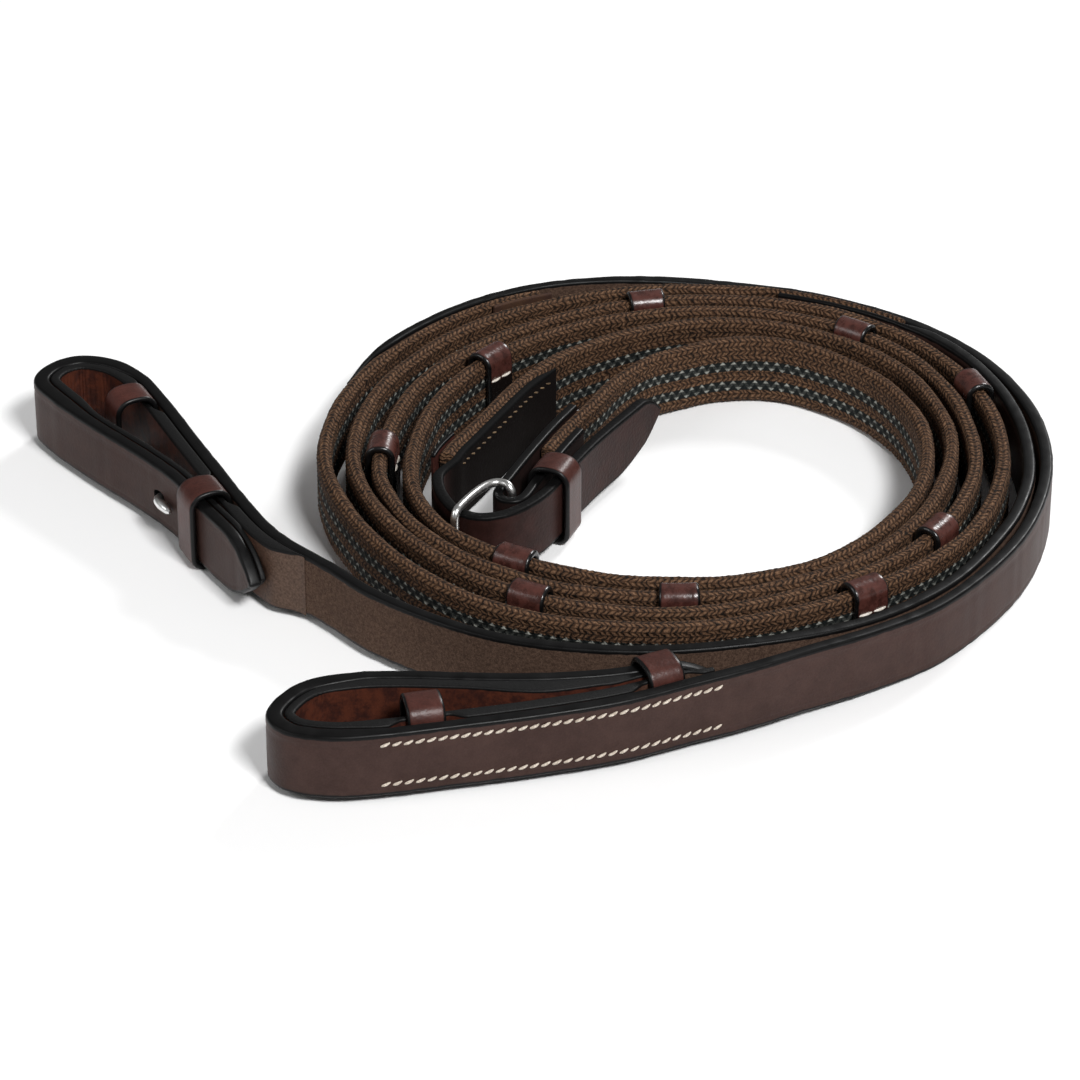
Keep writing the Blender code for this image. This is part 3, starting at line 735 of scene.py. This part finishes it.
WEB_CORNER = 1.7
WEB_SAG = 0.3           # the web rests this near the table before its first stop
BEND_START = WEB_T / 2 - WEB_CORNER + WEB_CORNER * math.pi / 2
WEB_ROWS = tuple((k * ROW / 2 - BEND_START) / (STRAP_W - 2 * WEB_CORNER) for k in range(5, 26))
A_SKIVE = -0.1          # side offset where the thinned end of a web meets its leather
B_SKIVE = 0.9


def knit_relief(s, x, z, side, around):
    """Small loops that stand out of the web, a row and a stitch apart."""
    lean = np.abs((around / (2 * ROW)) % 1 - 0.5) * 2 - 0.5
    across = np.abs((around / ROW) % 1 - 0.5) * 2
    along = np.abs((s / KNIT_PITCH + SLOPE * lean) % 1 - 0.5) * 2
    sag = 0.12 * np.sin(s * 0.21) * np.sin(s * 0.083 + 1)
    uneven = 0.8 + 0.35 * np.sin(s * 1.93 + around * 2.3) * np.sin(s * 0.77 - around)
    return 0.26 * uneven * (1 - along ** 1.8) * (1 - 0.8 * across ** 2.5) - 0.17 + sag


def add_web(name, node, line, s0, s1, right, left, low):
    web = ribbon(name, line, s0, s1, right, left, knitted(node + "_knit"), low=low,
                 step=KNIT_PITCH / 2, corner=WEB_CORNER, face=WEB_ROWS, arc=6, relief=knit_relief)
    own(web, node)
    return web


web_a = add_web("woven_web_a", "web_a", line_a, a_web_start, a_web_end,
                [(a_leather_start - 11, -WEB_T / 2), (a_leather_start, A_SKIVE)], WEB_T / 2,
                [(turn_a(75), LOW), (turn_a(95), WEB_SAG),
                 (turn_a(285), WEB_SAG), (turn_a(300), LOW)])
web_b = add_web("woven_web_b", "web_b", line_b, b_web_start, b_web_end, -WEB_T / 2,
                [(b_leather_start - 9, WEB_T / 2), (b_leather_start, B_SKIVE)],
                [(turn_b(40), LOW), (turn_b(55), WEB_SAG),
                 (turn_b(245), WEB_SAG), (turn_b(260), LOW)])


# leather end straps

CREASE_AT = 3.05        # distance round from the middle of the edge
CREASE_WIDTH = 0.28
CREASE_DEPTH = 0.13


def creases(side_sign):
    """Two pressed lines along the grain face, near its edges."""
    def relief(s, x, z, side, around):
        total = around.max(axis=1, keepdims=True)
        lower = np.exp(-((around - CREASE_AT) / CREASE_WIDTH) ** 2)
        upper = np.exp(-((total - CREASE_AT - around) / CREASE_WIDTH) ** 2)
        waves = 0.05 * np.sin(s * 0.7 + np.sin(s * 0.31) * 2) * np.sin(s * 0.171)
        return waves - CREASE_DEPTH * (lower + upper) * (side * side_sign > 0.5)
    return relief


a_floor = [(turn_a(858), LOW), (turn_a(885), NEAR_TABLE),
           (turn_a(950), NEAR_TABLE), (turn_a(985), LOW)]
b_floor = [(turn_b(800), LOW), (turn_b(826), NEAR_TABLE),
           (turn_b(945), NEAR_TABLE), (turn_b(978), LOW)]


def top_of(floor):
    """The strap's upper edge over a table of its lower edge."""
    return [(s, z + STRAP_W) for s, z in floor]


BIT_ENDS = {
    "a": dict(line=line_a, sign=1, empty=(-91, 41.4), filled=(-71.6, -1.3),
              root=(-52, -30.2), stud=(-77.7, 12.9), loop_end=(-106, 29.4),
              root_face=1.75, bulk=((-12, 1.65), (0, 0))),
    "b": dict(line=line_b, sign=-1, empty=(-23.5, -100), filled=(28.8, -83.5),
              root=(39.1, -79.1), stud=(8, -90.5), loop_end=(-36, -79),
              root_face=3.2, bulk=((-12, 1.65), (18, 1.5), (36, 2.9), (50, 1.5), (59, 0)))}


def loop_swell(line, end):
    """Rows of (distance, share) for the fuller stretch round a bit loop."""
    start = line.near(end["empty"]) + 9.5
    stop = line.near(end["loop_end"])
    return [(start, 0), (start + 9, 1), (stop - 12, 1), (stop, 0)]


LOOP_SWELL = 0.8        # the strap is fuller round the loop
B_LEAD = 20             # strap b begins this far early, as a thin wedge on the web
B_SETTLE = 32           # and comes down to its plain thickness this far past the web
B_PROUD = 3.7           # its outer face over the web's end

swell_a = [(s, half + LOOP_SWELL * w) for s, w in loop_swell(line_a, BIT_ENDS["a"])]
swell_b = [(s, -half - LOOP_SWELL * w) for s, w in loop_swell(line_b, BIT_ENDS["b"])]
strap_a = ribbon("leather_strap_a", line_a, a_leather_start, line_a.length,
                 [(a_web_end, -WEB_T / 2), (a_web_end + 9, -half)],
                 [(a_web_end + 0.5, A_SKIVE - GAP), (a_web_end + 9, half)] + swell_a,
                 leather("strap_a_bridle_leather", flesh=1), low=a_floor, high=top_of(a_floor),
                 tip="end", relief=creases(-1))
b_lead_start = b_leather_start - B_LEAD
strap_b = ribbon("leather_strap_b", line_b, b_lead_start, line_b.length,
                 [(b_leather_start - 9, WEB_SIDE), (b_leather_start, B_SKIVE + GAP),
                  (b_web_end + 0.5, B_SKIVE + GAP), (b_web_end + B_SETTLE, -half)] + swell_b,
                 [(b_lead_start, WEB_SIDE + 0.9), (b_leather_start - 9, B_PROUD),
                  (b_web_end - 4, B_PROUD), (b_web_end + B_SETTLE, half)],
                 leather("strap_b_bridle_leather", flesh=-1), low=b_floor,
                 high=[(b_lead_start, HIGH - 2), (b_leather_start, HIGH)] + top_of(b_floor),
                 tip="end", relief=creases(1))
BIT_ENDS["a"]["strap"] = own(strap_a, "strap_a")
BIT_ENDS["b"]["strap"] = own(strap_b, "strap_b")
own(ribbon("web_end_cover_b", line_b, turn_b(779), b_web_end + 2.5,
           -WEB_SIDE - FACING_T, -WEB_SIDE,
           leather("web_end_cover_leather", KNIT_MID, DEEP_BROWN, border=-1, gloss=0.6),
           corner=0.35), "web_end_facing_b")


# bit ends

def far_leg(line, s, sign, half_length):
    """Farthest side offset of the returning leg of a bit loop, opposite a stretch of line."""
    t = line.tangent(s)
    out = sign * line.normal(s)
    away = line.p[line.s > s + 30] - line.point(s)
    facing = (np.abs(away @ t) < half_length) & (away @ out > 0)
    return float(np.max((away @ out)[facing]))


PRISM_SIDES = 24


def prism(name, base, out, half_length, half_height, layers, power, material):
    """A rounded bar along out; layers hold (depth, share of its size)."""
    tan = np.array([-out[1], out[0]])
    points = []
    for depth, grow in layers:
        for k in range(PRISM_SIDES):
            a = 2 * math.pi * k / PRISM_SIDES
            u = half_length * math.copysign(abs(math.cos(a)) ** power, math.cos(a))
            v = half_height * math.copysign(abs(math.sin(a)) ** power, math.sin(a))
            points.append((*(base + out * depth + tan * u * grow), MID + v * grow))
    faces = grid_faces(len(layers), PRISM_SIDES)
    last = (len(layers) - 1) * PRISM_SIDES
    faces += [list(range(PRISM_SIDES))[::-1], list(range(last, last + PRISM_SIDES))]
    return aim_out(build(name, points, faces, material))


def slot_out(target, origin, direction, start, end, width, height):
    """Cut a rounded slot through a strap."""
    tool = prism("slot_tool", origin, direction, width / 2, height / 2, ((start, 1), (end, 1)),
                 0.7, target.data.materials[0])
    cut = target.modifiers.new("slot", "BOOLEAN")
    cut.operation = "DIFFERENCE"
    cut.solver = "EXACT"
    cut.object = tool
    graph = bpy.context.evaluated_depsgraph_get()
    carved = bpy.data.meshes.new_from_object(target.evaluated_get(graph))
    target.modifiers.remove(cut)
    carved.set_sharp_from_angle(angle=math.radians(48))
    target.data = carved
    bpy.data.objects.remove(tool)


KEEPER_BEND = 2.3
KEEPER_ARCH = 1.1       # rise of the middle of a keeper's top over its sides


def keeper_relief(a, h, px, pz):
    """Crowned along its length, with a raised line near each rim."""
    lip = 0.10 * np.exp(-((np.abs(a) - KEEPER_LENGTH / 2 + 0.7) / 0.4) ** 2)
    return np.where(h > 0, lip + 0.14 * np.cos(a / KEEPER_LENGTH * math.pi), 0)


def add_keeper(name, node, line, s, u0, u1):
    """Keeper between the side offsets u0 and u1."""
    path = []
    for u, z in rounded_path(u0 + KEEPER_T / 2, u1 - KEEPER_T / 2, LOW - GAP - KEEPER_T / 2,
                             HIGH + GAP + KEEPER_T / 2, KEEPER_BEND, run=16):
        off = (2 * u - u0 - u1) / (u1 - u0 - KEEPER_T)
        upper = min(max((z - MID) / 6, 0), 1)
        path.append((u, z + KEEPER_ARCH * (1 - off * off) * upper))
    keeper = ring(name, line, s, path, KEEPER_T, KEEPER_LENGTH,
                  leather(node + "_keeper_leather", RED_BROWN, RED_DEEP, border=0.12, gloss=0.22,
                          shine=0.26),
                  keeper_relief)
    own(keeper, node)


PLATE_HALF = (4.0, 2.6)
PLATE_LAYERS = ((0.0, 0.9), (0.15, 1.0), (0.65, 1.0), (0.8, 0.9))
# hook of a stud: distance toward the root, clearance over the strap, drop, radius
HOOK = ((0.5, 0.55, 0.05, 0.95), (1.5, 1.1, 0.15, 1.1), (3.0, 1.3, 0.25, 1.2),
        (4.5, 1.3, 0.35, 1.15), (6.0, 1.25, 0.45, 0.95), (6.9, 1.2, 0.5, 0.45))


def add_stud(tag, base, out, tan, skin):
    """Plate, stem and hook of a stud; skin(a) is the depth of the strap's face at a."""
    metal = nickel("hook_stud_" + tag + "_nickel")
    own(prism("stud_plate_" + tag, base, out, *PLATE_HALF, PLATE_LAYERS, 0.6, metal),
        "hook_stud_" + tag)
    top = skin(0)
    knots = [(0.5, 0, 0, 1.0), (top * 0.5, 0, 0, 0.95), (top - 0.3, 0, 0, 0.9)]
    knots += [(skin(a) + clear, a, -drop, radius) for a, clear, drop, radius in HOOK]
    fine = np.linspace(0, len(knots) - 1, 44)
    smooth = np.stack([np.interp(fine, range(len(knots)), column) for column in zip(*knots)], 1)
    centre = [(*(base + out * b - tan * a), MID + c) for b, a, c, radius in smooth]
    own(tube("stud_hook_" + tag, centre, smooth[:, 3], metal, sides=12), "hook_stud_" + tag)


def lining_leather(name, root):
    """Red calf, still rough and brown where it starts at the root."""
    look = Look(name)
    rim = look.attribute("rim")
    start = look.attribute("along").step(root + 4, root + 30)
    cloud = look.noise(260, 4, 0.65)
    nap = look.noise(1700, 5, 0.75)
    red = look.blend((cloud * 0.8 + nap * 0.3).step(0.42, 0.68), RED_DEEP, LINING_RED)
    colour = look.blend(start, look.blend(nap.step(0.3, 0.7), SUEDE_DEEP, SUEDE), red)
    edge = (rim + look.noise(420, 3) * 0.4).step(0.2, 0.5).inverse()
    colour = look.blend(edge, colour, BURNISHED)
    look.shader.inputs["Specular IOR Level"].default_value = 0.2
    return look.finish(colour, nap * 0.2 + 0.4, nap * 0.8 + cloud * 0.4, 0.08)


def lining_relief(line):
    """Small folds where the lining bends sharply."""
    def relief(s, x, z, side, around):
        bend = np.interp(s, line.s, line.bend)
        tight = np.clip((bend - 0.03) / 0.06, 0, 1)
        broad = np.sin(s * 3.6 + 0.6 * np.sin(z * 0.55 + s * 0.2))
        narrow = 0.5 * np.sin(s * 6.1 + z * 0.2)
        return 0.09 * tight * (broad + narrow) * np.abs(side) ** 3
    return relief


SEAM_STITCHES = 31
SEAM_PITCH = 2.5
SEAM_DROP = 2.7
STUD_SLOT = (4.0, 3.0)
seat = half + GAP
raised_seat = seat + KEEPER_T + GAP + 0.15      # the lining steps over the keepers' inner layer
proud_face = raised_seat + LINING_T
plate_seat = seat + LINING_T + GAP

for tag, end in BIT_ENDS.items():
    line = end["line"]
    sign = end["sign"]
    root = line.near(end["root"])
    empty = line.near(end["empty"])
    filled = line.near(end["filled"])
    rows = [(spot + d, offset) for spot in sorted((filled, empty))
            for d, offset in ((-9.0, seat), (-4.9, raised_seat), (4.9, raised_seat), (9.0, seat))]
    swell = loop_swell(line, end)
    near_face = [(root, sign * (half + 0.05))] if tag == "a" else []
    near_face += [(s, sign * u) for s, u in rows]
    near_face += [(s, sign * (seat + LOOP_SWELL * w)) for s, w in swell]
    far_face = [(root, sign * end["root_face"]), (root + 9, sign * proud_face)]
    loop_end = line.near(end["loop_end"])
    far_face += [(loop_end + d, sign * (seat + LINING_T + bulk)) for d, bulk in end["bulk"]]
    right, left = (near_face, far_face) if sign > 0 else (far_face, near_face)
    lining = ribbon("bit_end_lining_" + tag, line, root, line.length - 1.2, right, left,
                    lining_leather("bit_lining_" + tag + "_calf", root), tip="end", corner=0.5,
                    step=0.4, relief=lining_relief(line))
    own(lining, "bit_lining_" + tag)
    inner = seat + KEEPER_T
    reaches = {"empty": inner + GAP + LINING_T + KEEPER_ROOM + KEEPER_T,
               "filled": far_leg(line, filled, sign, KEEPER_LENGTH / 2) + half + GAP + KEEPER_T}
    for label, s in (("empty", empty), ("filled", filled)):
        u0, u1 = sorted((sign * seat, sign * reaches[label]))
        add_keeper("leather_keeper_" + label + "_" + tag, "bit_keeper_" + label + "_" + tag,
                   line, s, u0, u1)
    s = line.near(end["stud"])
    base = line.side(s, sign * plate_seat)
    out = sign * line.normal(s)
    reach = far_leg(line, s, sign, 5.4) - plate_seat + half
    for target in (end["strap"], lining):
        slot_out(target, base, out, 1.2, reach + 2.9, *STUD_SLOT)
    add_stud(tag, base, out, line.tangent(s), lambda a, line=line, s=s, sign=sign: (
        far_leg(line, s - a, sign, 1.0) - plate_seat + half))
    sewn = root + 0.8 + SEAM_PITCH * np.arange(SEAM_STITCHES)
    for row, height in (("low", LOW + SEAM_DROP + 0.4), ("high", HIGH - SEAM_DROP)):
        seam = stitches("bit_end_seam_" + row + "_" + tag, line, sewn, height, -sign * half,
                        CREAM_THREAD, radius=0.36, length=2.05, slant=-20, proud=0.24)
        own(seam, "strap_" + tag, replaces=False)


# centre buckle

def frame_path():
    """Round the buckle frame: top rail, heel bar, bottom rail, far bar."""
    arch = Line(ARCH, fine=0.1)
    top = HIGH + GAP + WIRE_R
    low = BUCKLE_LOW - GAP - WIRE_R
    corner = 2.0
    rail = np.linspace(corner, arch.length - corner, 26)
    bends = np.radians(np.linspace(0, 90, 8))[1:-1]

    def bend(a, near_end, upper):
        along = corner - corner * math.sin(a)
        level = corner - corner * math.cos(a)
        place = arch.point(along if near_end else arch.length - along)
        return (*place, top - level if upper else low + level)

    route = [(*arch.point(s), top) for s in rail]
    route += [bend(a, False, True) for a in bends]
    route += [(*HEEL, z) for z in np.linspace(top - corner, low + corner, 12)]
    route += [bend(a, False, False) for a in bends[::-1]]
    route += [(*arch.point(s), low) for s in rail[::-1]]
    route += [bend(a, True, False) for a in bends]
    route += [(*FAR, z) for z in np.linspace(low + corner, top - corner, 12)]
    route += [bend(a, True, True) for a in bends[::-1]]
    return route


own(tube("buckle_wire", frame_path(), WIRE_R, nickel("buckle_frame_nickel"), sides=14, closed=True),
    "buckle_frame", "buckle_frame")

heel = np.array(HEEL)
tongue_dir = np.array(TONGUE_TIP) - heel
tongue_reach = np.linalg.norm(tongue_dir)
tongue_dir /= tongue_reach
tongue_side = np.array([-tongue_dir[1], tongue_dir[0]])
EYE_R = 1.75
route = [(*(heel + tongue_dir * d), MID) for d in np.linspace(tongue_reach, 4.0, 14)]
for a in np.radians(np.linspace(35, 330, 22)):
    route.append((*(heel + EYE_R * (math.cos(a) * tongue_dir + math.sin(a) * tongue_side)), MID))
radii = [0.35] + [0.72] * 13 + [0.62] * 22
own(tube("buckle_pin", route, radii, nickel("buckle_tongue_nickel"), sides=12),
    "buckle_tongue", "buckle_tongue")

chape_offset = WEB_SIDE + CHAPE_T / 2
outer_leg = [tuple(line_a.side(s, chape_offset)) for s in (42, 32, 24, 16, 8, 0)]
inner_leg = [tuple(line_a.side(s, -chape_offset)) for s in (0, 8, 16, 24, 33)]
toward = -line_a.tangent(0.0)
across = np.array([-toward[1], toward[0]])
fold = [tuple(heel + chape_offset * (math.sin(a) * toward - math.cos(a) * across))
        for a in (math.radians(d) for d in (30, 60, 90, 120, 150))]
chape_line = Line(outer_leg + fold + inner_leg, fine=0.25)
chape = ribbon("buckle_chape_leather", chape_line, 0, chape_line.length, -CHAPE_T / 2, CHAPE_T / 2,
               leather("buckle_chape_bridle", DARK_DEEP, NEAR_BLACK, gloss=0.5, shine=0.15),
               low=BUCKLE_LOW, corner=0.6, step=0.6)
slot_out(chape, heel, toward, start=-2.3, end=7.1, width=4.4, height=5.2)
own(chape, "buckle_chape")
add_keeper("leather_keeper_centre", "centre_keeper", line_a, s=12.4, u0=-10.9, u1=-0.6)


def billet_leather(name):
    """Dark bridle leather that loses its gloss where it lies on the web, and goes near black there:
    partly its own tone, partly painted shade.
    """
    look = Look(name)
    rim = look.attribute("rim")
    sewn = look.attribute("along").step(b_web_start - 12, b_web_start - 4)
    cloud = look.noise(160, 4, 0.6)
    grain = look.cells(1500)
    colour = look.blend(cloud.step(0.3, 0.75), DARK_DEEP, DARK_BROWN)
    # Near black where sewn to the web: partly the leather's own tone, partly painted shade.
    colour = look.blend(sewn, colour, NEAR_BLACK)
    edge = (rim + look.noise(420, 3) * 0.4).step(0.3, 0.6).inverse()
    colour = look.blend(edge, colour, BURNISHED)
    look.shader.inputs["Specular IOR Level"].default_value = 0.1
    return look.finish(colour, sewn * 0.3 + cloud * 0.15 + 0.4, grain, 0.06)


SEWN_T = 2.0            # the billet is thinner where it is sewn to the web
SEWN_REACH = 20         # sewn this far past the CAD's end
TIP_RISE = 4.5
sewn_end = turn_b(34) + SEWN_REACH
billet = ribbon("centre_billet_leather", line_b, 0, sewn_end,
                [(b_web_start - 11, -BILLET_T / 2), (b_web_start - 0.5, -WEB_SIDE - SEWN_T)],
                [(b_web_start - 11, BILLET_T / 2), (b_web_start - 0.5, -WEB_SIDE),
                 (sewn_end - 7, -WEB_SIDE), (sewn_end, -WEB_SIDE - 1.3)],
                billet_leather("centre_billet_bridle"),
                low=[(0, BUCKLE_LOW + TIP_RISE), (20, BUCKLE_LOW),
                     (b_web_start - 22, BUCKLE_LOW), (b_web_start - 8, NEAR_TABLE)],
                tip="start", tip_length=8, corner=0.65, step=0.7)
slot_out(billet, heel, tongue_dir, start=7.1, end=21.5, width=3.4, height=3.8)
own(billet, "centre_billet")
own(stitches("centre_billet_seam", line_b, np.arange(b_web_start + 1, sewn_end - 3, 2.7),
             HIGH - SEAM_DROP, -WEB_SIDE - SEWN_T, TAN_THREAD, radius=0.26, slant=-20),
    "centre_billet", replaces=False)
own(ribbon("web_start_cover_b", line_b, b_web_start - 2.0, b_web_start + 9, WEB_SIDE,
           WEB_SIDE + FACING_T, leather("web_start_cover_leather", RED_BROWN, RED_DEEP),
           corner=0.35), "web_start_facing_b")


# rein stops

STOP_BEND = 2.6
SEW_DROP = 5.0          # the stop is sewn this far below the web's upper edge


def stop_path():
    """The stop hugs the web at its seam and stands away above and below it."""
    path = []
    reach = STOP_REACH - STOP_T / 2
    for u, z in rounded_path(-reach, reach, LOW - GAP - STOP_T / 2, HIGH + GAP + STOP_T / 2,
                             STOP_BEND, run=24):
        drop = HIGH - z
        pinch = 0.22 * math.exp(-((drop - SEW_DROP) / 1.1) ** 2)
        swell = 0.12 * math.exp(-((drop - 2.2) / 1.6) ** 2)
        path.append((u - math.copysign(pinch - swell, u) * (abs(u) > 1), z))
    return path


def stop_relief(a, h, px, pz):
    """Crowned along its length, with raised rims and puckers along its seam."""
    drop = HIGH - pz
    seam = np.exp(-((drop - SEW_DROP) / 0.9) ** 2)
    pucker = 0.09 * np.cos(a * 2 * math.pi / 2.0) * seam
    lip = 0.12 * np.exp(-((np.abs(a) - STOP_LENGTH / 2 + 0.8) / 0.5) ** 2)
    return np.where(h > 0, pucker + lip + 0.08 * np.cos(a / STOP_LENGTH * math.pi), 0)


def stop_leather(name):
    """Glossy red-brown above the seam, with painted shade in near black below it."""
    look = Look(name)
    rim = look.attribute("rim")
    seam = HIGH - SEW_DROP
    # Share above the seam; below it the colour is painted shade in near black.
    above_painted_shade = look.attribute("height").step(seam - 0.7, seam + 0.2)
    cloud = look.noise(420, 4, 0.6)
    grain = look.cells(1500)
    colour = look.blend((cloud + grain * 0.2).step(0.35, 0.75), RED_DEEP, RED_BROWN)
    colour = look.blend(above_painted_shade, NEAR_BLACK, colour)
    edge = (rim + look.noise(500, 3) * 0.5).step(0.1, 0.5).inverse()
    colour = look.blend(edge, colour, BURNISHED)
    return look.finish(colour, cloud * 0.2 + 0.18, grain * 0.5 + cloud * 0.8, 0.07)


for tag, line, turns, at in (("a", line_a, STOPS_A, turn_a), ("b", line_b, STOPS_B, turn_b)):
    for i, turn in enumerate(turns):
        node = f"rein_stop_{tag}{i + 1}"
        s = at(turn)
        own(ring(f"leather_stop_{tag}{i + 1}", line, s, stop_path(), STOP_T, STOP_LENGTH,
                 stop_leather(node + "_leather"), stop_relief), node)
        for way, word in ((1, "left"), (-1, "right")):
            seam = stitches(f"stop_seam_{word}_{tag}{i + 1}", line, (s - 1.9, s + 1.9),
                            HIGH - SEW_DROP, way * (STOP_REACH - 0.15), WHITE_THREAD,
                            radius=0.38, length=3.6, proud=0.32)
            own(seam, node, replaces=False)


# centre paths of the webs, worked out and not used

def declare_web(line, s0, s1):
    s = np.append(np.arange(s0, s1, 4.0), s1)
    path = [(*((p + SHIFT) * MM), MID * MM) for p in line.point(s)]


declare_web(line_a, a_web_start, a_web_end)
declare_web(line_b, b_web_start, b_web_end)
